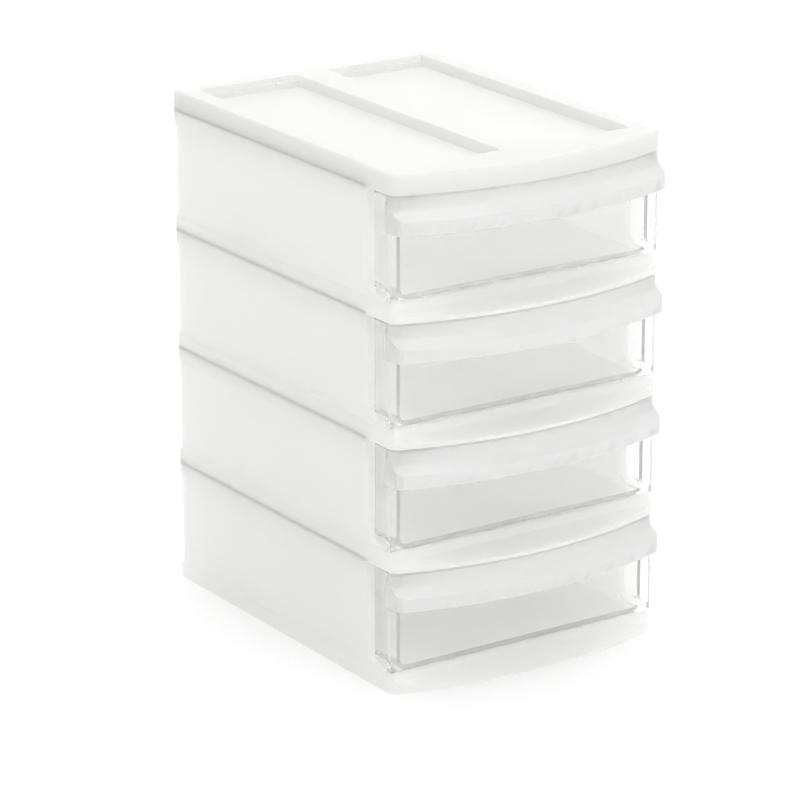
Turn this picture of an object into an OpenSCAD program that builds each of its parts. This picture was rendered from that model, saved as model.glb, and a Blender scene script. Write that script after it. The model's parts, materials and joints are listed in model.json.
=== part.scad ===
// Desktop mini drawers: four stacked housings with a bowed front, a clear drawer
// with a clip-on handle in each, and a cover with two shallow trays.
// Millimetres. X is the width, the front faces -Y, and Z is up from the underside.

/* [Overall] */
// Width over the bands of the housings
width = 141; // [120:1:180]
// Depth of a housing at its front corners
corner_depth = 179; // [150:1:230]
// How far the front bows out at its middle
bow = 12.5; // [8:0.5:18]
// Radius of the upright corners at the front
front_corner_r = 6; // [4:0.5:9]
// Radius of the upright corners at the back
back_corner_r = 4; // [3:0.5:9]
// Height from one tier to the next
tier_pitch = 56; // [50:1:80]

/* [Housing] */
// Thickness of the side and back walls
wall = 2.2; // [1.6:0.1:3]
// How far the skirt and the rim stand out from the walls
band_out = 1; // [0.5:0.1:2]
// Height of the skirt, with its bevel
skirt_h = 8; // [7:0.5:10]
// Height of the bevel on top of the skirt
skirt_bevel = 2; // [1:0.5:3]
// Height of the rim round the top, with its bevel
rim_h = 8; // [6:0.5:12]
// Height of the bevel under the rim
rim_bevel = 3.5; // [1:0.5:5]
// Height of the floor's upper face
floor_top = 9; // [8:0.5:12]
// Thickness of the floor and of the front ledge
floor_t = 2; // [1.5:0.1:3]
// Distance from the front corners back to the edges of the side walls
wall_setback = 19.7; // [16:0.1:30]
// Depth of the stop bead on the front edge of each side wall
bead_depth = 3.4; // [2:0.1:6]
// How far the stop bead stands into the housing
bead_in = 1; // [0.6:0.1:1.4]
// Radius of the sweep from the edge of a side wall down to the floor
sweep_r = 7; // [3:0.5:10]
// Distance from the outside to the stacking lip
lip_inset = 2.2; // [1.6:0.1:2.6]
// Height of the stacking lip
lip_h = 2; // [1:0.1:3]
// Clearance round the stacking lip
lip_gap = 0.3; // [0.2:0.05:0.6]
// Distance from the back to the rearmost rib under the floor
rib_first = 23; // [10:1:30]
// Distance between the ribs under the floor
rib_step = 44.4; // [30:0.2:46]
// Thickness of the ribs
rib_t = 1.6; // [1:0.1:3]

/* [Front ledge] */
// Distance from the front corners back to the top edge of the ledge
ledge_setback = 1.6; // [0.5:0.1:4]
// Height of the foot of the ledge's nose
nose_foot_z = 5.2; // [3:0.1:7]
// How far the foot of the nose stands before the front corners
nose_foot_out = 0.4; // [0:0.1:2]
// Radius of the nose's upper edge
nose_r = 2.2; // [0.5:0.1:2.4]
// Radius of the hollow between the nose and the front edge
cove_r = 20; // [14:1:60]
// Height of the front edge at the middle of the bow
front_edge_h = 1.4; // [0.8:0.1:2.4]
// Distance between the two ribs under the ledge
ledge_rib_span = 75; // [40:1:100]

/* [Drawer] */
// Gap between a drawer's sides and the walls
side_gap = 1.3; // [0.8:0.1:2]
// Gap under a drawer, and the least gap beside it
slide_gap = 0.3; // [0.2:0.05:0.6]
// Distance from a drawer's back to the back of its housing
drawer_short = 21; // [10:1:40]
// Thickness of a drawer's walls and floor
drawer_wall = 1.8; // [1.2:0.1:2.6]
// Radius of a drawer's upright corners
drawer_corner_r = 6; // [3:0.5:10]
// Radius of the rounding inside, between a drawer's floor and its walls
floor_r = 3.2; // [1:0.1:5]
// Thickness of a drawer's front panel
panel_t = 2; // [1.4:0.1:3]
// Distance from the front corners back to the front panel's face
panel_setback = 1.8; // [1:0.1:4]
// Depth of the webs behind the lower corners of the front panel
web_depth = 8; // [4:0.5:10]
// Height of those webs over the drawer's underside
web_h = 7.5; // [4:0.5:12]
// Height of the webs' outer edges
web_edge_h = 2.8; // [1.5:0.1:3.5]
// Depth of the stop ears on a drawer's back corners
ear_depth = 4; // [2:0.5:8]
// Height of the stop ears
ear_h = 12; // [5:1:20]

/* [Handle] */
// How far the handle's rim stands before the housings
rim_out = 4.5; // [3:0.1:9]
// Gap between a handle's top and the tier over it
handle_gap = 1.2; // [0.6:0.1:3]
// How far the handle's upright part stays behind the housings' front
handle_back = 0.3; // [0.1:0.1:1]
// Thickness of the handle
handle_t = 2; // [1.4:0.1:2.6]
// Distance from the top of the tier down to the bend into the flare
flare_start = 5.6; // [5:0.1:8]
// Distance from the top of the tier down to the rim's upper edge
rim_edge = 10.6; // [9:0.1:16]
// Height of the rim
rim_band = 6; // [3:0.1:12]
// Radius of the bend into the flare
flare_r = 5; // [2:0.5:6]
// Radius of the rim's upper edge
rim_edge_r = 1; // [0.5:0.1:2]
// Radius of the rim's upright corners
rim_corner_r = 5; // [3:0.5:9]
// Distance from the front corners back to the rear of the handle's cheeks
cheek_depth = 5.7; // [5.5:0.1:14]
// Distance from the top of the tier down to the cheeks' upper rear corners
cheek_top = 6.4; // [4:0.1:9]
// Height of the clip that grips the front panel
clip_h = 7; // [5:0.5:9]
// Thickness of the clip's two legs
clip_t = 1.4; // [1:0.1:1.6]
// Gap between the ends of the clip's rear leg and the drawer's walls
clip_end_gap = 1; // [0.5:0.1:4]
// Gap between the cheeks and the front panel's shoulders under them
cheek_gap = 0.2; // [0.1:0.05:0.5]

/* [Cover] */
// Height of the cover
cover_h = 9; // [8:0.5:14]
// Thickness of the cover's top
cover_t = 2; // [1.5:0.1:3]
// Radius of the cover's upper edge
cover_edge_r = 1.6; // [0.5:0.1:2.6]
// Depth of the trays
tray_depth = 5.3; // [3:0.1:5.4]
// Width of the rims beside the trays
tray_side = 10; // [6:0.5:20]
// Width of the band between the trays
tray_between = 16.5; // [8:0.5:30]
// Distance from the back to the trays
tray_back = 7.5; // [5:0.5:20]
// Distance from the front corners back to the trays
tray_front = 9; // [5:0.5:30]
// Radius of the trays' corners
tray_r = 2.6; // [1:0.1:6]
// Depth of the step along the back of each tray
step_depth = 1.8; // [1:0.1:4]
// Height of that step over the tray's floor
step_h = 2.8; // [1:0.1:3]
// Width of the notch in the step
notch_w = 3; // [1:0.5:10]
// Distance from the middle band to the notch
notch_from = 11; // [4:0.5:20]

/* [Hidden] */
$fn = 96;
TIERS = 4;
FROSTED = [0.93, 0.93, 0.92, 0.8];
CLEAR = [0.92, 0.95, 0.94, 0.35];
FROSTED_HANDLE = [0.96, 0.96, 0.95, 0.9];
PAST = 1; // how far a cutting solid runs past what it cuts
STEPS = 6; // flats in a small rounding
EASE = 0.02; // how far a rounded corner stands proud, so that it crosses its neighbours
OVERLAP = 3; // how far a straight sweep runs on past a corner's start
LEAST_R = 0.3; // least radius of an inset corner
ROUND_SHARE = 0.75; // largest share of an upright corner's radius for the edge under it

// Main planes
y_back = (corner_depth + bow + rim_out) / 2;
y_corner = y_back - corner_depth;
y_bow = y_corner - bow;
bow_r = (pow(width / 2, 2) + pow(bow, 2)) / (2 * bow);
bow_y = y_bow + bow_r;
wall_in = band_out + wall;
y_wall = y_corner + wall_setback;
y_ledge = y_corner + ledge_setback;

// Drawer
drawer_z = floor_top + slide_gap;
drawer_top = tier_pitch - handle_gap - handle_t;
drawer_half = width / 2 - wall_in - side_gap;
drawer_back_y = y_back - drawer_short;
panel_y = y_corner + panel_setback;
panel_half = width / 2 - slide_gap;
ear_out = side_gap - slide_gap;
ear_y = drawer_back_y - drawer_corner_r - ear_depth;
drawer_travel = ear_y - (y_wall + bead_depth) - slide_gap;

// Handle
handle_top = tier_pitch - handle_gap;
rim_edge_z = tier_pitch - rim_edge;
rim_bottom_z = rim_edge_z - rim_band;
flare_z = tier_pitch - flare_start;
flare_angle = atan2(rim_out + handle_back, flare_z - rim_edge_z);
notch_half = drawer_half + slide_gap;
echo(drawer_travel = drawer_travel, total_depth = 2 * y_back);

// Half width and radii of the outline, set in by o
function half(o) = width / 2 - o;
function set_in(r, o) = max(r - o, LEAST_R);
// Centre of the right front corner of radius r, on a bow of radius big
function corner_centre(h, r, big) = [h - r, bow_y - sqrt(pow(big - r, 2) - pow(h - r, 2))];

function direction(a) = [cos(a), sin(a)];

// What rounds off a corner between two directions seen from its centre
module corner_cut(c, r, a0, a1) {
    mid = (a0 + a1) / 2;
    translate(c) difference() {
        polygon([[0, 0], 2 * r * direction(a0), 3 * r * direction(mid), 2 * r * direction(a1)]);
        rotate(mid + 180) circle(r + EASE);
    }
}

// Outline with a bowed front, set in by o; its front corners have radius r, its bow stands out
module outline(o, r = front_corner_r, out = 0) {
    h = half(o);
    y = y_back - o;
    b = set_in(back_corner_r, o);
    front = set_in(r, o);
    big = bow_r + out - o;
    c = corner_centre(h, front, big);
    difference() {
        intersection() {
            translate([-h, y - 2 * corner_depth]) square([2 * h, 2 * corner_depth]);
            translate([0, bow_y]) circle(big, $fn = 360);
        }
        for (side = [0, 1]) mirror([side, 0]) {
            corner_cut(c, front, atan2(c.y - bow_y, c.x), 0);
            corner_cut([h - b, y - b], b, 0, 90);
        }
    }
}

// Where the straight sides end at the front
corner_y = corner_centre(width / 2, front_corner_r, bow_r).y;

// The sweeps below run a section round the outline; its x points out. What they make is taken off

// Both sides, from y0 back to y1
module side_sweep(y0, y1) {
    for (side = [0, 1]) mirror([side, 0, 0])
        translate([width / 2, y1, 0]) rotate([90, 0, 0]) linear_extrude(y1 - y0) children();
}

// The back and its corners
module back_sweep() {
    run = width - 2 * back_corner_r + 2 * OVERLAP;
    for (side = [0, 1]) mirror([side, 0, 0])
        translate([width / 2 - back_corner_r, y_back - back_corner_r, 0])
            rotate_extrude(angle = 90) translate([back_corner_r + EASE, 0]) children();
    translate([-run / 2, y_back, 0]) rotate([90, 0, 90]) linear_extrude(run) children();
}

// The bow and the front corners
module front_sweep(ease, run_on) {
    c = corner_centre(width / 2, front_corner_r, bow_r);
    angle = atan2(c.y - bow_y, c.x);
    over = run_on / bow_r * 180 / PI;
    translate([0, bow_y, 0]) rotate([0, 0, -180 - angle - over])
        rotate_extrude(angle = 180 + 2 * (angle + over), $fn = 360)
            translate([bow_r, 0]) children();
    for (side = [0, 1]) mirror([side, 0, 0])
        translate([c.x, c.y, 0]) rotate([0, 0, angle])
            rotate_extrude(angle = -angle) translate([front_corner_r + ease, 0]) children();
}

module all_sweep() {
    side_sweep(corner_y - OVERLAP, y_back - back_corner_r + OVERLAP) children();
    back_sweep() children();
    front_sweep(EASE, OVERLAP) children();
}

// Everything from y0 back
module behind(y0, h) {
    translate([-width, y0, -h]) cube([2 * width, 2 * corner_depth, 3 * h]);
}

// Prism across the width from a section drawn in Y and Z
module across() {
    translate([-width, 0, 0]) rotate([90, 0, 90]) linear_extrude(2 * width) children();
}

// ---- Housing ----

// Everything under the floor and under the ledge's nose and hollow
module under_ledge() {
    foot = [y_corner - nose_foot_out, nose_foot_z];
    edge = [y_bow, front_edge_h];
    span = edge - foot;
    reach = norm(span);
    r = max(cove_r, reach / 2 + PAST);
    centre = (foot + edge) / 2 + [span.y, -span.x] / reach * sqrt(r * r - reach * reach / 4);
    slope = atan2(floor_top - foot.y, y_ledge - foot.x);
    round_back = nose_r * tan(slope / 2);
    difference() {
        polygon([
            [y_bow - bow, -tier_pitch], [y_bow - bow, front_edge_h], edge, foot,
            [y_ledge - round_back * cos(slope), floor_top - round_back * sin(slope)],
            for (i = [1 : 5]) let (a = slope * (1 - i / 6)) [
                y_ledge + round_back - nose_r * sin(a),
                floor_top - nose_r + nose_r * cos(a)
            ],
            [y_ledge + round_back, floor_top],
            [y_back + PAST, floor_top], [y_back + PAST, -tier_pitch]
        ]);
        intersection() {
            translate(centre) circle(r, $fn = 180);
            translate([foot.x - 2 * bow, 0]) square([2 * bow, tier_pitch]);
        }
    }
}

// Section of what is taken off between the skirt and the rim
module waist_section() {
    skirt = skirt_h - skirt_bevel;
    rim = tier_pitch - rim_h + rim_bevel;
    polygon([
        [PAST, skirt - PAST * skirt_bevel / band_out], [-band_out, skirt_h],
        [-band_out, tier_pitch - rim_h], [PAST, rim + PAST * rim_bevel / band_out]
    ]);
}

// Walls with the stacking lip, floor and bowed ledge, as one shell
module housing_shell() {
    difference() {
        intersection() {
            union() {
                linear_extrude(tier_pitch) outline(0);
                translate([0, 0, tier_pitch - PAST]) linear_extrude(lip_h + PAST)
                    outline(lip_inset);
            }
            union() {
                across() under_ledge();
                behind(y_wall, tier_pitch);
            }
        }
        all_sweep() waist_section();
        translate([0, 0, floor_top]) linear_extrude(2 * tier_pitch) outline(wall_in);
        intersection() {
            translate([0, 0, -PAST]) linear_extrude(PAST + floor_top - floor_t) outline(wall_in);
            translate([0, 0, -floor_t]) across() under_ledge();
        }
        intersection() {
            translate([0, 0, -PAST]) linear_extrude(PAST + lip_h + lip_gap)
                outline(lip_inset - lip_gap);
            behind(y_wall - lip_gap, tier_pitch);
        }
    }
}

// Stop bead and sweep at the front edge of each side wall
module wall_edges() {
    for (side = [0, 1]) mirror([side, 0, 0]) {
        translate([half(wall_in) - bead_in, y_wall, floor_top - floor_t])
            cube([bead_in + wall / 2, bead_depth, tier_pitch - floor_top + floor_t]);
        translate([half(wall_in), y_wall, floor_top]) rotate([90, 0, 90])
            linear_extrude(wall) difference() {
                translate([-sweep_r, -floor_t / 2]) square([sweep_r + wall / 2, sweep_r + floor_t / 2]);
                translate([-sweep_r, sweep_r]) circle(sweep_r);
            }
    }
}

// Ribs across the underside of the floor
module floor_ribs() {
    z = lip_h + 2 * lip_gap;
    for (i = [0 : 3])
        translate([-half(lip_inset), y_back - rib_first - i * rib_step - rib_t / 2, z])
            cube([2 * half(lip_inset), rib_t, floor_top - floor_t / 2 - z]);
}

// Two ribs under the ledge, from its front edge back to the foremost rib of the floor
module ledge_ribs() {
    y1 = y_back - rib_first - 3 * rib_step;
    for (side = [0, 1]) mirror([side, 0, 0]) intersection() {
        translate([ledge_rib_span / 2 - rib_t / 2, y_bow, 0])
            cube([rib_t, y1 - y_bow, floor_top]);
        linear_extrude(floor_top) outline(wall_in / 2);
        translate([0, 0, -floor_t / 2]) across() under_ledge();
    }
}

module housing(tier) {
    color(FROSTED) translate([0, 0, (tier - 1) * tier_pitch]) {
        housing_shell();
        wall_edges();
        floor_ribs();
        ledge_ribs();
    }
}

// ---- Drawer ----

// Plan of the drawer's box, set in by o, from y0 to the back
module box_plan(o, y0) {
    h = drawer_half - o;
    r = set_in(drawer_corner_r, o);
    y1 = drawer_back_y - o;
    translate([-h, y0]) square([2 * h, y1 - r - y0]);
    translate([r - h, y0]) square([2 * (h - r), y1 - y0]);
    for (side = [-1, 1]) translate([side * (h - r), y1 - r]) circle(r);
}

// Section of what a rounding of radius r takes off a lower edge; x points out
module lower_edge(r) {
    over = r * [1 - cos(90 / STEPS), sin(90 / STEPS)];
    polygon([
        [PAST, -over.x], [-r - over.y, -over.x],
        for (i = [1 : STEPS - 1]) let (t = 90 * i / STEPS) r * [sin(t) - 1, 1 - cos(t)],
        [over.x, r + over.y], [PAST, r + over.y]
    ]);
}

// Block with the drawer's plan, set in by o, whose lower edges are rounded
module round_block(o, y0) {
    corner = set_in(drawer_corner_r, o);
    r = min(floor_r + drawer_wall - o, ROUND_SHARE * corner);
    x = drawer_half - o - corner;
    y = drawer_back_y - o - corner;
    translate([0, 0, drawer_z + o]) difference() {
        linear_extrude(drawer_top - drawer_z + (o > 0 ? PAST : 0)) box_plan(o, y0);
        for (side = [0, 1]) mirror([side, 0, 0]) {
            translate([drawer_half - o, y + OVERLAP, 0]) rotate([90, 0, 0])
                linear_extrude(y + OVERLAP - y0 + PAST) lower_edge(r);
            translate([x, y, 0])
                rotate_extrude(angle = 90) translate([corner + EASE, 0]) lower_edge(r);
        }
        translate([-x - OVERLAP, drawer_back_y - o, 0]) rotate([90, 0, 90])
            linear_extrude(2 * (x + OVERLAP)) lower_edge(r);
    }
}

module drawer_box() {
    difference() {
        round_block(0, panel_y + panel_t / 2);
        round_block(drawer_wall, panel_y + panel_t);
    }
}

// Full-width front panel, narrower where the handle goes round it
module front_panel() {
    shoulder = rim_bottom_z - cheek_gap;
    translate([-panel_half, panel_y, drawer_z])
        cube([2 * panel_half, panel_t, shoulder - drawer_z]);
    translate([-notch_half, panel_y, shoulder - PAST])
        cube([2 * notch_half, panel_t, drawer_top - shoulder + PAST]);
}

// Hollowed web that fills the lower corner between a side and the front panel
module panel_web() {
    out = panel_half - drawer_half;
    y0 = panel_y + panel_t / 2;
    intersection() {
        translate([0, y0 + web_depth + panel_t, drawer_z]) rotate([90, 0, 0])
            linear_extrude(web_depth + 2 * panel_t) difference() {
                translate([drawer_half - drawer_wall / 2, 0]) square([out + drawer_wall / 2, web_h]);
                translate([panel_half, web_h]) web_hollow(out, web_h - web_edge_h);
            }
        translate([0, 0, drawer_z]) linear_extrude(web_h) difference() {
            translate([0, y0]) square([panel_half, web_depth + panel_t / 2]);
            translate([drawer_half + web_depth, y0 + panel_t / 2 + web_depth]) circle(web_depth);
        }
    }
}

// Hollow of half width a and depth b, as a round with straight sides over it
module web_hollow(a, b) {
    translate([0, a - b]) circle(a);
    translate([-a, a - b]) square([2 * a, b]);
}

module drawer(tier) {
    color(CLEAR) translate([0, 0, (tier - 1) * tier_pitch]) {
        drawer_box();
        front_panel();
        for (side = [0, 1]) mirror([side, 0, 0]) {
            panel_web();
            translate([drawer_half - drawer_wall / 2, ear_y, drawer_top - ear_h])
                cube([drawer_wall / 2 + ear_out, ear_depth, ear_h]);
        }
    }
}

// ---- Handle ----

// Section of what is taken off over the rim, set in by o; x points forward
module flare_section(o) {
    drop = tan(flare_angle / 2);
    bend_r = flare_r + o;
    edge_r = set_in(rim_edge_r, o);
    edge = [rim_out - o, rim_edge_z - (edge_r + o) * drop];
    step = [edge_r * (1 - cos(flare_angle / STEPS)), -edge_r * sin(flare_angle / STEPS)];
    polygon([
        [-handle_back - o, tier_pitch],
        for (i = [0 : STEPS]) let (t = flare_angle * i / STEPS) [
            -handle_back - o + bend_r * (1 - cos(t)),
            flare_z + (bend_r - o) * drop - bend_r * sin(t)
        ],
        for (i = [STEPS : -1 : 1]) let (t = flare_angle * i / STEPS)
            edge + [edge_r * (cos(t) - 1), edge_r * sin(t)],
        edge + step,
        [rim_out + bow, edge.y + step.y], [rim_out + bow, tier_pitch]
    ]);
}

// Everything behind the handle's front, set in by o, between two heights
module handle_fill(o, low, high) {
    difference() {
        translate([0, 0, low]) linear_extrude(high - low) outline(o, rim_corner_r, rim_out);
        front_sweep(0, 0) flare_section(o);
        side_sweep(corner_y, y_corner + cheek_depth + PAST) flare_section(o);
    }
}

// Leg of the clip, as deep as the clip and between two planes across the drawer
module clip_leg(y, half_w) {
    translate([-half_w, y, handle_top - clip_h])
        cube([2 * half_w, clip_t, clip_h - handle_t / 2]);
}

module handle(tier) {
    leg_y = panel_y + panel_t;
    color(FROSTED_HANDLE) translate([0, 0, (tier - 1) * tier_pitch]) {
        difference() {
            intersection() {
                handle_fill(0, rim_bottom_z, handle_top);
                across() polygon([
                    [y_bow - bow, 0], [y_bow - bow, tier_pitch], [leg_y + clip_t, tier_pitch],
                    [leg_y + clip_t, handle_top], [y_corner + cheek_depth, tier_pitch - cheek_top],
                    [y_corner + cheek_depth, 0]
                ]);
            }
            handle_fill(handle_t, rim_bottom_z - PAST, handle_top - handle_t);
        }
        clip_leg(leg_y, drawer_half - drawer_wall - clip_end_gap);
        intersection() {
            clip_leg(panel_y - clip_t, half(0));
            handle_fill(handle_t / 2, rim_bottom_z, handle_top);
        }
    }
}

// ---- Cover ----

// Rectangle with round corners
module rounded_rect(x0, y0, x1, y1, r) {
    translate([x0 + r, y0]) square([x1 - x0 - 2 * r, y1 - y0]);
    translate([x0, y0 + r]) square([x1 - x0, y1 - y0 - 2 * r]);
    for (x = [x0 + r, x1 - r], y = [y0 + r, y1 - r]) translate([x, y]) circle(r);
}

// Plan of the right tray, grown by o
module tray_plan(o) {
    rounded_rect(tray_between / 2 - o, y_corner + tray_front - o,
                 width / 2 - tray_side + o, y_back - tray_back + o, tray_r + o);
}

// Section of what the rounding takes off the cover's upper edge
module cover_edge_section() {
    over = cover_edge_r * [1 - cos(90 / STEPS), sin(90 / STEPS)];
    polygon([
        [over.x, -cover_edge_r - over.y],
        for (i = [1 : STEPS - 1]) let (t = 90 * i / STEPS)
            cover_edge_r * [cos(t) - 1, sin(t) - 1],
        [-cover_edge_r - over.y, over.x],
        [PAST, over.x], [PAST, -cover_edge_r - over.y]
    ]);
}

module cover() {
    cover_wall = lip_inset - lip_gap;
    tray_z = cover_h - tray_depth;
    color(FROSTED) translate([0, 0, TIERS * tier_pitch]) difference() {
        union() {
            difference() {
                linear_extrude(cover_h) outline(0);
                translate([0, 0, -PAST]) linear_extrude(PAST + cover_h - cover_t) outline(cover_wall);
                translate([0, 0, cover_h]) all_sweep() cover_edge_section();
            }
            for (side = [0, 1]) mirror([side, 0, 0])
                translate([0, 0, tray_z - cover_t])
                    linear_extrude(tray_depth + cover_t / 2) tray_plan(cover_t);
        }
        for (side = [0, 1]) mirror([side, 0, 0]) translate([0, 0, tray_z]) difference() {
            linear_extrude(tray_depth + PAST) tray_plan(0);
            tray_step();
        }
    }
}

// Low step along the back of a tray, with a notch in it
module tray_step() {
    y0 = y_back - tray_back - step_depth;
    notch_x = tray_between / 2 + notch_from;
    difference() {
        translate([0, y0, -PAST]) cube([width / 2, tray_back, step_h + PAST]);
        translate([notch_x, y0 - PAST, -2 * PAST]) cube([notch_w, tray_back, step_h + 3 * PAST]);
    }
}

cover();
housing(1);  // housing_1
housing(2);  // housing_2
housing(3);  // housing_3
housing(4);  // housing_4
drawer(1);  // drawer_1
drawer(2);  // drawer_2
drawer(3);  // drawer_3
drawer(4);  // drawer_4
handle(1);  // handle_1
handle(2);  // handle_2
handle(3);  // handle_3
handle(4);  // handle_4
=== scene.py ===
"""Dresses the desktop mini drawers: frosted housings and cover, clear drawers, milky handles."""

import json
import math

import bmesh
import bpy
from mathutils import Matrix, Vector

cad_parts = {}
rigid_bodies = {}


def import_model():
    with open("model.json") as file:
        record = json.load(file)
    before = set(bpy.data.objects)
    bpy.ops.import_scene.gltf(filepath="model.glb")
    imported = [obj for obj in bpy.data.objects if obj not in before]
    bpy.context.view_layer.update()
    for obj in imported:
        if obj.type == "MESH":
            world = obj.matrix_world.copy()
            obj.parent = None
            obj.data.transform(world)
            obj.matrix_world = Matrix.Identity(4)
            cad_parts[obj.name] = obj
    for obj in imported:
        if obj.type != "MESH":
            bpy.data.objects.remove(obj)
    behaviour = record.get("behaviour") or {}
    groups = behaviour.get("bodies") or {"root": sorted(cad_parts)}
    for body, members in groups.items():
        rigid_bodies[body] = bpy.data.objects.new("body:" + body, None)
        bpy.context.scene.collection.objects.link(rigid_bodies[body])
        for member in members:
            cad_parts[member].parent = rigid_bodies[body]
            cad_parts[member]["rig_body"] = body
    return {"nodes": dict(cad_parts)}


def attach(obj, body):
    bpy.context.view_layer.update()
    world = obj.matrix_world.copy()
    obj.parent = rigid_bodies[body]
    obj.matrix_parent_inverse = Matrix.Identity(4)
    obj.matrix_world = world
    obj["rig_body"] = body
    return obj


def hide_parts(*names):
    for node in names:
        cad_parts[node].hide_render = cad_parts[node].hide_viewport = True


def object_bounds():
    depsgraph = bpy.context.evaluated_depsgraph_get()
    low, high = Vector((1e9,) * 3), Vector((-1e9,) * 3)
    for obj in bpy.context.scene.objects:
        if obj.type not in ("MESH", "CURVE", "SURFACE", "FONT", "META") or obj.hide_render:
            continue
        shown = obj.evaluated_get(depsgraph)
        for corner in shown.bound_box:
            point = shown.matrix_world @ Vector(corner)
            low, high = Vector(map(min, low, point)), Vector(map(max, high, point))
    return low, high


bl_info = {
    "name": "Desktop Mini Drawers",
    "version": (1, 0, 0),
    "blender": (4, 5, 0),
    "location": "3D View > Sidebar > Mini Drawers",
    "description": "Builds the looks of a stack of small frosted drawers round its solid frame",
    "category": "Object",
}

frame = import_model()
CAD_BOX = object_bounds()
TIERS = (1, 2, 3, 4)

# How a solid is rounded.
MERGE_GAP = 2e-6  # points closer than this, in metres, become one
FLAT_ANGLE = math.radians(0.6)  # faces that bend less than this become one
SHARP_ANGLE = math.radians(28)  # edges that bend more than this are rounded

# Finish that the plastics share.
COAT_ROUGHNESS = 0.28
GRAIN_SOFTNESS = 0.55
GRAIN_RELIEF = 0.25  # height of the grain as a share of its size

# Studio.
FLOOR_HALF = 6.0  # half of the floor's width
RISE_POWER = 3.0  # the higher, the nearer to straight above the surround brightens
BACK_TURN = math.radians(34)  # turn of the glow behind the drawers, from the depth axis
GLOW_EDGE = 0.35  # cosine of the angle from the glow's middle at which it starts
GLOW_FULL = 0.9  # cosine of the angle from the glow's middle within which it is full
LIGHT_BOUNCES = 64  # lets light through all the walls of the stack
SURFACE_BOUNCES = 48  # of those, how many may be off matte or glossy faces

# Sockets of a Mix node that mixes colours.
MIX_FACTOR, MIX_FIRST, MIX_SECOND, MIX_RESULT = 0, 6, 7, 2


# ---- Sizes and colours a user would change ----


class FrostedPlastic(bpy.types.PropertyGroup):
    """Frosted plastic of the housings and the cover."""

    colour: bpy.props.FloatVectorProperty(
        name="Colour",
        description="Colour of the frosted plastic",
        subtype="COLOR",
        size=3,
        min=0,
        max=1,
        default=(0.992, 0.992, 0.989),
    )
    flow_colour: bpy.props.FloatVectorProperty(
        name="Flow colour",
        description="Colour of the faint streaks where the plastic flowed",
        subtype="COLOR",
        size=3,
        min=0,
        max=1,
        default=(0.985, 0.985, 0.98),
    )
    # Painted shade: the cover is the housings' frosted plastic, greyed so that its top comes out
    # darker under the strong light from above.
    cover_shaded_colour: bpy.props.FloatVectorProperty(
        name="Cover's shaded colour",
        description="Colour of the cover, greyed to paint shade against the strong light from above",
        subtype="COLOR",
        size=3,
        min=0,
        max=1,
        default=(0.93, 0.93, 0.923),
    )
    roughness: bpy.props.FloatProperty(
        name="Roughness",
        description="Roughness of the frosted surface",
        subtype="FACTOR",
        min=0,
        max=1,
        default=0.6,
    )
    see_through: bpy.props.FloatProperty(
        name="See-through",
        description="Share of the light that passes through a wall",
        subtype="FACTOR",
        min=0,
        max=1,
        default=0.3,
    )
    scatter: bpy.props.FloatProperty(
        name="Scatter",
        description="Share of the light that spreads evenly as it passes through a wall",
        subtype="FACTOR",
        min=0,
        max=1,
        default=0.42,
    )
    grain: bpy.props.FloatProperty(
        name="Grain size",
        description="Size of the moulded grain",
        subtype="DISTANCE",
        unit="LENGTH",
        min=0.0001,
        max=0.005,
        default=0.0005,
    )
    edge_round: bpy.props.FloatProperty(
        name="Edge rounding",
        description="Radius that takes the sharpness off the moulded edges",
        subtype="DISTANCE",
        unit="LENGTH",
        min=0.00005,
        max=0.001,
        default=0.00018,
    )


class ClearPlastic(bpy.types.PropertyGroup):
    """Clear plastic of the drawers."""

    colour: bpy.props.FloatVectorProperty(
        name="Tint",
        description="Tint of the clear plastic",
        subtype="COLOR",
        size=3,
        min=0,
        max=1,
        default=(0.999, 1.0, 0.9995),
    )
    roughness: bpy.props.FloatProperty(
        name="Roughness",
        description="Roughness of the clear surface",
        subtype="FACTOR",
        min=0,
        max=1,
        default=0.05,
    )
    see_through: bpy.props.FloatProperty(
        name="See-through",
        description="Share of the light that isn't thrown back by the haze in the plastic",
        subtype="FACTOR",
        min=0,
        max=1,
        default=0.95,
    )
    haze: bpy.props.FloatProperty(
        name="Haze",
        description="Share of the light that the clear plastic scatters as it passes",
        subtype="FACTOR",
        min=0,
        max=1,
        default=0.17,
    )
    edge_round: bpy.props.FloatProperty(
        name="Edge rounding",
        description="Radius that takes the sharpness off the drawers' edges",
        subtype="DISTANCE",
        unit="LENGTH",
        min=0.00005,
        max=0.001,
        default=0.00025,
    )


class MilkyPlastic(bpy.types.PropertyGroup):
    """Milky plastic of the handles."""

    colour: bpy.props.FloatVectorProperty(
        name="Colour",
        description="Colour of the milky plastic",
        subtype="COLOR",
        size=3,
        min=0,
        max=1,
        default=(0.89, 0.89, 0.887),
    )
    roughness: bpy.props.FloatProperty(
        name="Roughness",
        description="Roughness of the milky surface",
        subtype="FACTOR",
        min=0,
        max=1,
        default=0.34,
    )
    see_through: bpy.props.FloatProperty(
        name="See-through",
        description="Share of the light that passes through a handle",
        subtype="FACTOR",
        min=0,
        max=1,
        default=0.15,
    )
    scatter: bpy.props.FloatProperty(
        name="Scatter",
        description="Share of the light that spreads evenly as it passes through a handle",
        subtype="FACTOR",
        min=0,
        max=1,
        default=0.3,
    )
    edge_round: bpy.props.FloatProperty(
        name="Edge rounding",
        description="Radius that takes the sharpness off the handles' edges",
        subtype="DISTANCE",
        unit="LENGTH",
        min=0.00005,
        max=0.001,
        default=0.00035,
    )


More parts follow.
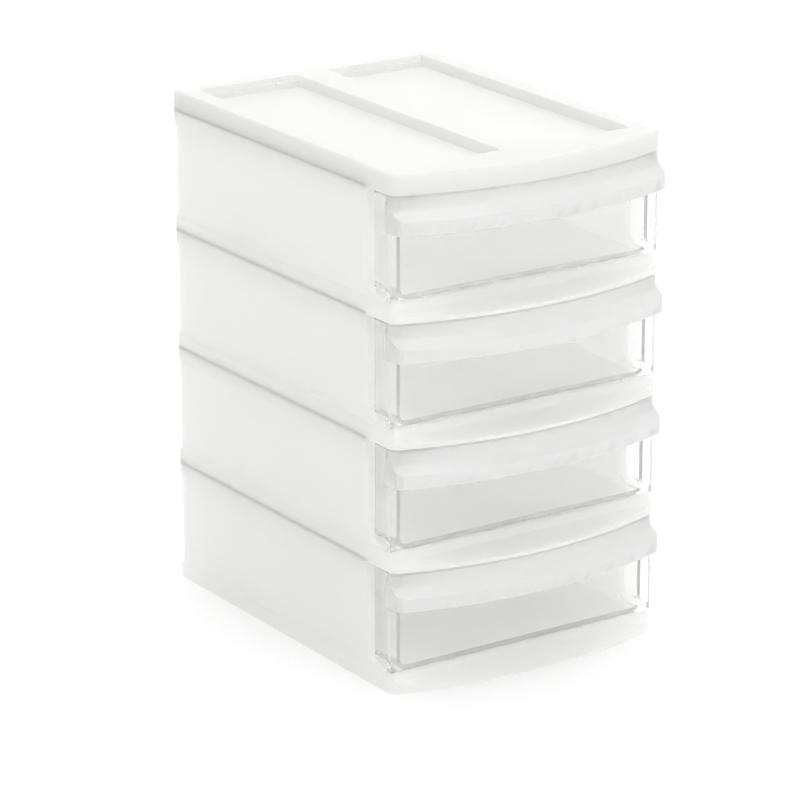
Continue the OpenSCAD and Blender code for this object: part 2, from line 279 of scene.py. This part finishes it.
class StudioSettings(bpy.types.PropertyGroup):
    """Floor, light and camera."""

    floor_colour: bpy.props.FloatVectorProperty(
        name="Floor colour",
        description="Colour of the plain floor",
        subtype="COLOR",
        size=3,
        min=0,
        max=1,
        default=(0.97, 0.97, 0.97),
    )
    light_above: bpy.props.FloatProperty(
        name="Light from above",
        description="Strength of the soft surrounding light straight above",
        min=0,
        max=4,
        default=1.5,
    )
    light_round: bpy.props.FloatProperty(
        name="Light from the sides",
        description="Strength of the soft surrounding light at the height of the floor",
        min=0,
        max=4,
        default=0.49,
    )
    light_behind: bpy.props.FloatProperty(
        name="Light from behind",
        description="Strength that the glow behind the drawers adds",
        min=0,
        max=4,
        default=1.0,
    )
    key: bpy.props.FloatProperty(
        name="Overhead light",
        description="Power of the soft box over the drawers",
        subtype="POWER",
        unit="POWER",
        min=0,
        max=200,
        default=2.5,
    )
    front: bpy.props.FloatProperty(
        name="Front light",
        description="Power of the soft box before the drawers",
        subtype="POWER",
        unit="POWER",
        min=0,
        max=200,
        default=5.0,
    )
    camera_place: bpy.props.FloatVectorProperty(
        name="Camera place",
        description="Where the camera stands",
        subtype="TRANSLATION",
        unit="LENGTH",
        size=3,
        default=(-0.987, -1.451, 0.680),
    )
    camera_yaw: bpy.props.FloatProperty(
        name="Camera yaw",
        description="Turn of the camera from the depth axis towards the right",
        subtype="ANGLE",
        unit="ROTATION",
        default=math.radians(33.9),
    )
    camera_pitch: bpy.props.FloatProperty(
        name="Camera pitch",
        description="How far the camera looks down",
        subtype="ANGLE",
        unit="ROTATION",
        default=math.radians(18.3),
    )
    lens: bpy.props.FloatProperty(
        name="Lens",
        description="Focal length of the camera",
        subtype="DISTANCE_CAMERA",
        unit="CAMERA",
        min=20,
        max=400,
        default=184.6,
    )


# ---- Shader node groups ----


def new_group(name, inputs, outputs):
    """A shader node group with named inputs and outputs, and its two end nodes."""
    group = bpy.data.node_groups.new(name, "ShaderNodeTree")
    for label, kind, value in inputs:
        socket = group.interface.new_socket(label, in_out="INPUT", socket_type=kind)
        socket.default_value = value
    for label, kind in outputs:
        group.interface.new_socket(label, in_out="OUTPUT", socket_type=kind)
    start = group.nodes.new("NodeGroupInput")
    end = group.nodes.new("NodeGroupOutput")
    start.location, end.location = (-900, 0), (700, 0)
    return group, start, end


def add_node(tree, kind, place, **values):
    """A node at a place in a tree, with its settings and the values of its inputs."""
    node = tree.nodes.new(kind)
    node.location = place
    for key, value in values.items():
        if key in node.inputs:
            node.inputs[key].default_value = value
        else:
            setattr(node, key, value)
    return node


def size_to_scale(tree, size, place):
    """A node that turns the size of a pattern into the scale of its texture."""
    scale = add_node(tree, "ShaderNodeMath", place, operation="DIVIDE")
    scale.inputs[0].default_value = 1.0
    tree.links.new(size, scale.inputs[1])
    return scale


def moulded_grain():
    """Fine moulded texture, as a height for bumps."""
    group, start, end = new_group(
        "Moulded grain",
        [("Grain size", "NodeSocketFloat", 0.0005), ("Softness", "NodeSocketFloat", 0.5)],
        [("Height", "NodeSocketFloat")],
    )
    link = group.links.new
    where = add_node(group, "ShaderNodeTexCoord", (-900, 200))
    scale = size_to_scale(group, start.outputs["Grain size"], (-700, 0))
    fine = add_node(group, "ShaderNodeTexNoise", (-500, 200), Detail=2.0)
    link(where.outputs["Object"], fine.inputs["Vector"])
    link(scale.outputs[0], fine.inputs["Scale"])
    link(start.outputs["Softness"], fine.inputs["Roughness"])
    link(fine.outputs["Fac"], end.inputs["Height"])
    return group


def flow_streaks():
    """Long faint streaks left where the plastic flowed in the mould."""
    group, start, end = new_group(
        "Flow streaks",
        [
            ("Base", "NodeSocketColor", (0.93, 0.93, 0.93, 1)),
            ("Streak", "NodeSocketColor", (0.9, 0.9, 0.9, 1)),
            ("Length", "NodeSocketFloat", 0.08),
            ("Amount", "NodeSocketFloat", 0.5),
        ],
        [("Color", "NodeSocketColor")],
    )
    link = group.links.new
    where = add_node(group, "ShaderNodeTexCoord", (-900, 250))
    stretch = add_node(group, "ShaderNodeMapping", (-700, 250))
    stretch.inputs["Scale"].default_value = (1.0, 0.35, 2.2)
    link(where.outputs["Object"], stretch.inputs["Vector"])
    scale = size_to_scale(group, start.outputs["Length"], (-700, 0))
    noise = add_node(group, "ShaderNodeTexNoise", (-500, 200), Detail=3.0)
    noise.inputs["Distortion"].default_value = 0.6
    link(stretch.outputs["Vector"], noise.inputs["Vector"])
    link(scale.outputs[0], noise.inputs["Scale"])
    spread = add_node(group, "ShaderNodeMapRange", (-250, 150))
    spread.inputs["From Min"].default_value = 0.35
    spread.inputs["From Max"].default_value = 0.7
    link(noise.outputs["Fac"], spread.inputs["Value"])
    share = add_node(group, "ShaderNodeMath", (0, 100), operation="MULTIPLY")
    link(spread.outputs["Result"], share.inputs[0])
    link(start.outputs["Amount"], share.inputs[1])
    mix = add_node(group, "ShaderNodeMix", (250, 100), data_type="RGBA")
    link(share.outputs[0], mix.inputs[MIX_FACTOR])
    link(start.outputs["Base"], mix.inputs[MIX_FIRST])
    link(start.outputs["Streak"], mix.inputs[MIX_SECOND])
    link(mix.outputs[MIX_RESULT], end.inputs["Color"])
    return group


def handling_marks():
    """Faint rubbed patches that make the surface a little rougher or smoother."""
    group, start, end = new_group(
        "Handling marks",
        [
            ("Roughness", "NodeSocketFloat", 0.4),
            ("Variation", "NodeSocketFloat", 0.06),
            ("Patch size", "NodeSocketFloat", 0.02),
        ],
        [("Roughness", "NodeSocketFloat")],
    )
    link = group.links.new
    where = add_node(group, "ShaderNodeTexCoord", (-900, 250))
    scale = size_to_scale(group, start.outputs["Patch size"], (-700, 0))
    noise = add_node(group, "ShaderNodeTexNoise", (-500, 200), Detail=4.0)
    noise.inputs["Roughness"].default_value = 0.65
    link(where.outputs["Object"], noise.inputs["Vector"])
    link(scale.outputs[0], noise.inputs["Scale"])
    centre = add_node(group, "ShaderNodeMath", (-250, 150), operation="SUBTRACT")
    centre.inputs[1].default_value = 0.5
    link(noise.outputs["Fac"], centre.inputs[0])
    change = add_node(group, "ShaderNodeMath", (0, 150), operation="MULTIPLY")
    link(centre.outputs[0], change.inputs[0])
    link(start.outputs["Variation"], change.inputs[1])
    total = add_node(group, "ShaderNodeMath", (250, 50), operation="ADD", use_clamp=True)
    link(change.outputs[0], total.inputs[0])
    link(start.outputs["Roughness"], total.inputs[1])
    link(total.outputs[0], end.inputs["Roughness"])
    return group


def use_group(tree, name, build, place, **values):
    """Places a shared effect, which is built once, in a material with its own values."""
    node = tree.nodes.new("ShaderNodeGroup")
    node.node_tree = bpy.data.node_groups.get(name) or build()
    node.location = place
    for key, value in values.items():
        node.inputs[key.replace("_", " ")].default_value = value
    return node


# ---- Materials ----


def opaque(colour):
    """The colour with full alpha."""
    return (*colour, 1.0)


def plastic(
    name,
    *,
    base,
    streak,
    roughness,
    see_through,
    scatter,
    ior,
    sheen,
    grain,
    bump,
    patch,
    variation,
):
    """A plastic with flow streaks, rubbed patches and a moulded grain.

    see_through is the share of light that passes and scatter the share that spreads
    as it passes. grain and patch are sizes in metres, and variation is how much the
    rubbed patches change the roughness.
    """
    material = bpy.data.materials.new(name)
    material.use_nodes = True
    tree = material.node_tree
    link = tree.links.new
    shader = tree.nodes["Principled BSDF"]
    shader.location = (300, 0)
    end = tree.nodes["Material Output"]
    end.location = (800, 0)
    shader.inputs["IOR"].default_value = ior
    shader.inputs["Transmission Weight"].default_value = see_through
    shader.inputs["Coat Weight"].default_value = sheen
    shader.inputs["Coat Roughness"].default_value = COAT_ROUGHNESS
    streaks = use_group(
        tree, "Flow streaks", flow_streaks, (-300, 250), Base=opaque(base), Streak=opaque(streak)
    )
    marks = use_group(
        tree,
        "Handling marks",
        handling_marks,
        (-300, 0),
        Roughness=roughness,
        Variation=variation,
        Patch_size=patch,
    )
    texture = use_group(
        tree,
        "Moulded grain",
        moulded_grain,
        (-300, -250),
        Grain_size=grain,
        Softness=GRAIN_SOFTNESS,
    )
    height = grain * GRAIN_RELIEF
    relief = add_node(tree, "ShaderNodeBump", (0, -250), Strength=bump, Distance=height)
    link(texture.outputs["Height"], relief.inputs["Height"])
    link(relief.outputs["Normal"], shader.inputs["Normal"])
    link(streaks.outputs["Color"], shader.inputs["Base Color"])
    link(marks.outputs["Roughness"], shader.inputs["Roughness"])
    milk = add_node(tree, "ShaderNodeBsdfTranslucent", (300, -450), Color=opaque(base))
    mix = add_node(tree, "ShaderNodeMixShader", (600, 0), Fac=scatter)
    link(relief.outputs["Normal"], milk.inputs["Normal"])
    link(shader.outputs["BSDF"], mix.inputs[1])
    link(milk.outputs["BSDF"], mix.inputs[2])
    link(mix.outputs["Shader"], end.inputs["Surface"])
    return material


def darker(colour, share):
    """The colour with each part lowered to a share of itself."""
    return [part * share for part in colour]


def frosted_plastic(name, settings, colour, flow_colour):
    """The frosted plastic of the housings or the cover."""
    return plastic(
        name,
        base=colour,
        streak=flow_colour,
        roughness=settings.roughness,
        see_through=settings.see_through,
        scatter=settings.scatter,
        ior=1.12,
        sheen=0.45,
        grain=settings.grain,
        bump=0.35,
        patch=0.03,
        variation=0.08,
    )


def clear_plastic(settings):
    """The clear plastic of the drawers."""
    return plastic(
        "clear plastic",
        base=settings.colour,
        streak=darker(settings.colour, 0.999),
        roughness=settings.roughness,
        see_through=settings.see_through,
        scatter=settings.haze,
        ior=1.22,
        sheen=0.0,
        grain=0.004,
        bump=0.01,
        patch=0.015,
        variation=0.04,
    )


def milky_plastic(settings):
    """The milky plastic of the handles."""
    return plastic(
        "milky plastic",
        base=settings.colour,
        streak=darker(settings.colour, 0.985),
        roughness=settings.roughness,
        see_through=settings.see_through,
        scatter=settings.scatter,
        ior=1.3,
        sheen=0.8,
        grain=0.0006,
        bump=0.2,
        patch=0.02,
        variation=0.08,
    )


# ---- Pieces ----


def softened(node, name, radius, material):
    """A copy of a solid with its sharp edges rounded, which stands for the solid."""
    source = frame["nodes"][node]
    mesh = source.data.copy()
    mesh.name = name
    work = bmesh.new()
    work.from_mesh(mesh)
    bmesh.ops.remove_doubles(work, verts=work.verts, dist=MERGE_GAP)
    bmesh.ops.dissolve_limit(
        work,
        angle_limit=FLAT_ANGLE,
        use_dissolve_boundaries=False,
        verts=work.verts,
        edges=work.edges,
        delimit=set(),
    )
    work.to_mesh(mesh)
    work.free()
    mesh.shade_smooth()
    piece = bpy.data.objects.new(name, mesh)
    bpy.context.scene.collection.objects.link(piece)
    rounding = piece.modifiers.new("rounding", "BEVEL")
    rounding.width = radius
    rounding.segments = 2
    rounding.limit_method = "ANGLE"
    rounding.angle_limit = SHARP_ANGLE
    rounding.use_clamp_overlap = True
    piece.modifiers.new("normals", "WEIGHTED_NORMAL")
    bpy.context.view_layer.update()
    shaped = bpy.data.meshes.new_from_object(
        piece.evaluated_get(bpy.context.evaluated_depsgraph_get())
    )
    piece.modifiers.clear()
    piece.data = shaped
    bpy.data.meshes.remove(mesh)
    shaped.name = name
    shaped.materials.clear()
    shaped.materials.append(material)
    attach(piece, source["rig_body"])
    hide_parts(node)


class DRAWERS_OT_cover(bpy.types.Operator):
    """Makes the frosted cover with its two trays"""

    bl_idname = "drawers.cover"
    bl_label = "Add Cover"

    def execute(self, context):
        look = context.scene.frosted_plastic
        # Painted shade: the cover's colour and streak colour are the frosted plastic greyed
        # against the strong light from above.
        shaded_tint = look.cover_shaded_colour
        material = frosted_plastic("shaded frosted cover", look, shaded_tint, darker(shaded_tint, 0.99))
        softened("cover", "cover_shell", look.edge_round, material)
        return {"FINISHED"}


class DRAWERS_OT_housings(bpy.types.Operator):
    """Makes the frosted housings"""

    bl_idname = "drawers.housings"
    bl_label = "Add Housings"

    def execute(self, context):
        look = context.scene.frosted_plastic
        material = frosted_plastic("frosted plastic", look, look.colour, look.flow_colour)
        for tier in TIERS:
            softened(
                f"housing_{tier}",
                f"housing_{tier}_shell",
                look.edge_round,
                material,
            )
        return {"FINISHED"}


class DRAWERS_OT_drawers(bpy.types.Operator):
    """Makes the clear drawers"""

    bl_idname = "drawers.drawers"
    bl_label = "Add Drawers"

    def execute(self, context):
        look = context.scene.clear_plastic
        material = clear_plastic(look)
        for tier in TIERS:
            softened(
                f"drawer_{tier}",
                f"drawer_{tier}_box",
                look.edge_round,
                material,
            )
        return {"FINISHED"}


class DRAWERS_OT_handles(bpy.types.Operator):
    """Makes the milky handles"""

    bl_idname = "drawers.handles"
    bl_label = "Add Handles"

    def execute(self, context):
        look = context.scene.milky_plastic
        material = milky_plastic(look)
        for tier in TIERS:
            softened(
                f"handle_{tier}",
                f"handle_{tier}_grip",
                look.edge_round,
                material,
            )
        return {"FINISHED"}


# ---- Floor, light and camera ----


def floor_material(colour):
    """A pale matte floor with the slightest unevenness."""
    material = bpy.data.materials.new("pale floor")
    material.use_nodes = True
    tree = material.node_tree
    shader = tree.nodes["Principled BSDF"]
    shader.inputs["Specular IOR Level"].default_value = 0.1
    marks = use_group(
        tree,
        "Handling marks",
        handling_marks,
        (-300, 0),
        Roughness=0.85,
        Variation=0.05,
        Patch_size=0.2,
    )
    shader.inputs["Base Color"].default_value = opaque(colour)
    tree.links.new(marks.outputs["Roughness"], shader.inputs["Roughness"])
    return material


def pale_floor(colour):
    """The plain floor that the drawers stand on."""
    mesh = bpy.data.meshes.new("floor")
    work = bmesh.new()
    bmesh.ops.create_grid(work, x_segments=8, y_segments=8, size=FLOOR_HALF)
    work.to_mesh(mesh)
    work.free()
    floor = bpy.data.objects.new("floor", mesh)
    floor.location.z = CAD_BOX[0][2]
    mesh.materials.append(floor_material(colour))
    bpy.context.scene.collection.objects.link(floor)


def white_room(above, around, behind):
    """An even white surround, brighter above than at the sides, with a glow behind the drawers."""
    world = bpy.data.worlds.new("white room")
    world.use_nodes = True
    tree = world.node_tree
    sky = tree.nodes["Background"]
    sky.inputs["Color"].default_value = (1, 1, 1, 1)
    where = add_node(tree, "ShaderNodeTexCoord", (-700, 0))
    parts = add_node(tree, "ShaderNodeSeparateXYZ", (-500, 0))
    bent = add_node(tree, "ShaderNodeMath", (-350, 0), operation="POWER", use_clamp=True)
    bent.inputs[1].default_value = RISE_POWER
    rise = add_node(tree, "ShaderNodeMapRange", (-180, 0))
    rise.inputs["To Min"].default_value = around
    rise.inputs["To Max"].default_value = above
    tree.links.new(where.outputs["Generated"], parts.inputs[0])
    tree.links.new(parts.outputs["Z"], bent.inputs[0])
    tree.links.new(bent.outputs[0], rise.inputs["Value"])
    along = add_node(tree, "ShaderNodeVectorMath", (-500, -250), operation="DOT_PRODUCT")
    along.inputs[1].default_value = (math.sin(BACK_TURN), math.cos(BACK_TURN), 0)
    glow = add_node(tree, "ShaderNodeMapRange", (-350, -250))
    glow.inputs["From Min"].default_value = GLOW_EDGE
    glow.inputs["From Max"].default_value = GLOW_FULL
    glow.inputs["To Max"].default_value = behind
    total = add_node(tree, "ShaderNodeMath", (-20, -100), operation="ADD")
    tree.links.new(where.outputs["Generated"], along.inputs[0])
    tree.links.new(along.outputs["Value"], glow.inputs["Value"])
    tree.links.new(rise.outputs["Result"], total.inputs[0])
    tree.links.new(glow.outputs["Result"], total.inputs[1])
    tree.links.new(total.outputs[0], sky.inputs["Strength"])
    return world


def soft_box(name, place, target, power, width, depth):
    """A rectangular soft light that faces a target."""
    light = bpy.data.lights.new(name, "AREA")
    light.energy = power
    light.shape = "RECTANGLE"
    light.size, light.size_y = width, depth
    lamp = bpy.data.objects.new(name, light)
    lamp.location = place
    lamp.rotation_euler = (Vector(target) - Vector(place)).to_track_quat("-Z", "Y").to_euler()
    bpy.context.scene.collection.objects.link(lamp)


def studio_camera(look):
    """The camera, which stands before the left front corner and looks down a little."""
    lens = bpy.data.cameras.new("camera")
    lens.lens = look.lens
    lens.sensor_width = 36
    lens.clip_end = 50
    camera = bpy.data.objects.new("camera", lens)
    camera.location = look.camera_place
    camera.rotation_euler = (math.pi / 2 - look.camera_pitch, 0, -look.camera_yaw)
    bpy.context.scene.collection.objects.link(camera)
    return camera


class DRAWERS_OT_stage(bpy.types.Operator):
    """Makes the pale floor, the soft studio light and the camera"""

    bl_idname = "drawers.stage"
    bl_label = "Add Stage"

    def execute(self, context):
        look = context.scene.studio_settings
        scene = context.scene

        pale_floor(look.floor_colour)
        scene.world = white_room(look.light_above, look.light_round, look.light_behind)
        soft_box(
            "overhead soft box",
            place=(-0.1, -0.35, 1.15),
            target=(0, 0, 0.15),
            power=look.key,
            width=0.8,
            depth=0.8,
        )
        soft_box(
            "front soft box",
            place=(0.25, -1.7, 0.55),
            target=(0, 0, 0.12),
            power=look.front,
            width=1.4,
            depth=1.0,
        )
        scene.camera = studio_camera(look)

        scene.view_settings.view_transform = "Standard"
        scene.cycles.max_bounces = LIGHT_BOUNCES
        scene.cycles.transmission_bounces = LIGHT_BOUNCES
        scene.cycles.diffuse_bounces = SURFACE_BOUNCES
        scene.cycles.glossy_bounces = SURFACE_BOUNCES
        scene.cycles.blur_glossy = 0  # keeps the light that shines through the clear plastic
        return {"FINISHED"}


class DRAWERS_PT_panel(bpy.types.Panel):
    """Lists the pieces of the mini drawers"""

    bl_idname = "DRAWERS_PT_panel"
    bl_label = "Mini Drawers"
    bl_space_type = "VIEW_3D"
    bl_region_type = "UI"
    bl_category = "Mini Drawers"

    def draw(self, context):
        for operator in PIECES:
            self.layout.operator(operator.bl_idname)
        for name in SETTINGS:
            box = self.layout.box()
            group = getattr(context.scene, name)
            for key in group.__annotations__:
                box.prop(group, key)


PIECES = (
    DRAWERS_OT_cover,
    DRAWERS_OT_housings,
    DRAWERS_OT_drawers,
    DRAWERS_OT_handles,
    DRAWERS_OT_stage,
)
SETTINGS = {
    "frosted_plastic": FrostedPlastic,
    "clear_plastic": ClearPlastic,
    "milky_plastic": MilkyPlastic,
    "studio_settings": StudioSettings,
}


def register():
    """Registers the settings, the operators and the panel."""
    for group in SETTINGS.values():
        bpy.utils.register_class(group)
    for operator in PIECES:
        bpy.utils.register_class(operator)
    bpy.utils.register_class(DRAWERS_PT_panel)
    for name, group in SETTINGS.items():
        setattr(bpy.types.Scene, name, bpy.props.PointerProperty(type=group))


def unregister():
    """Takes out what register put in."""
    for name in SETTINGS:
        delattr(bpy.types.Scene, name)
    bpy.utils.unregister_class(DRAWERS_PT_panel)
    for operator in reversed(PIECES):
        bpy.utils.unregister_class(operator)
    for group in reversed(SETTINGS.values()):
        bpy.utils.unregister_class(group)


def main():
    """Builds the pieces and the stage."""
    register()
    bpy.ops.drawers.cover()
    bpy.ops.drawers.housings()
    bpy.ops.drawers.drawers()
    bpy.ops.drawers.handles()
    bpy.ops.drawers.stage()


if __name__ == "__main__":
    main()
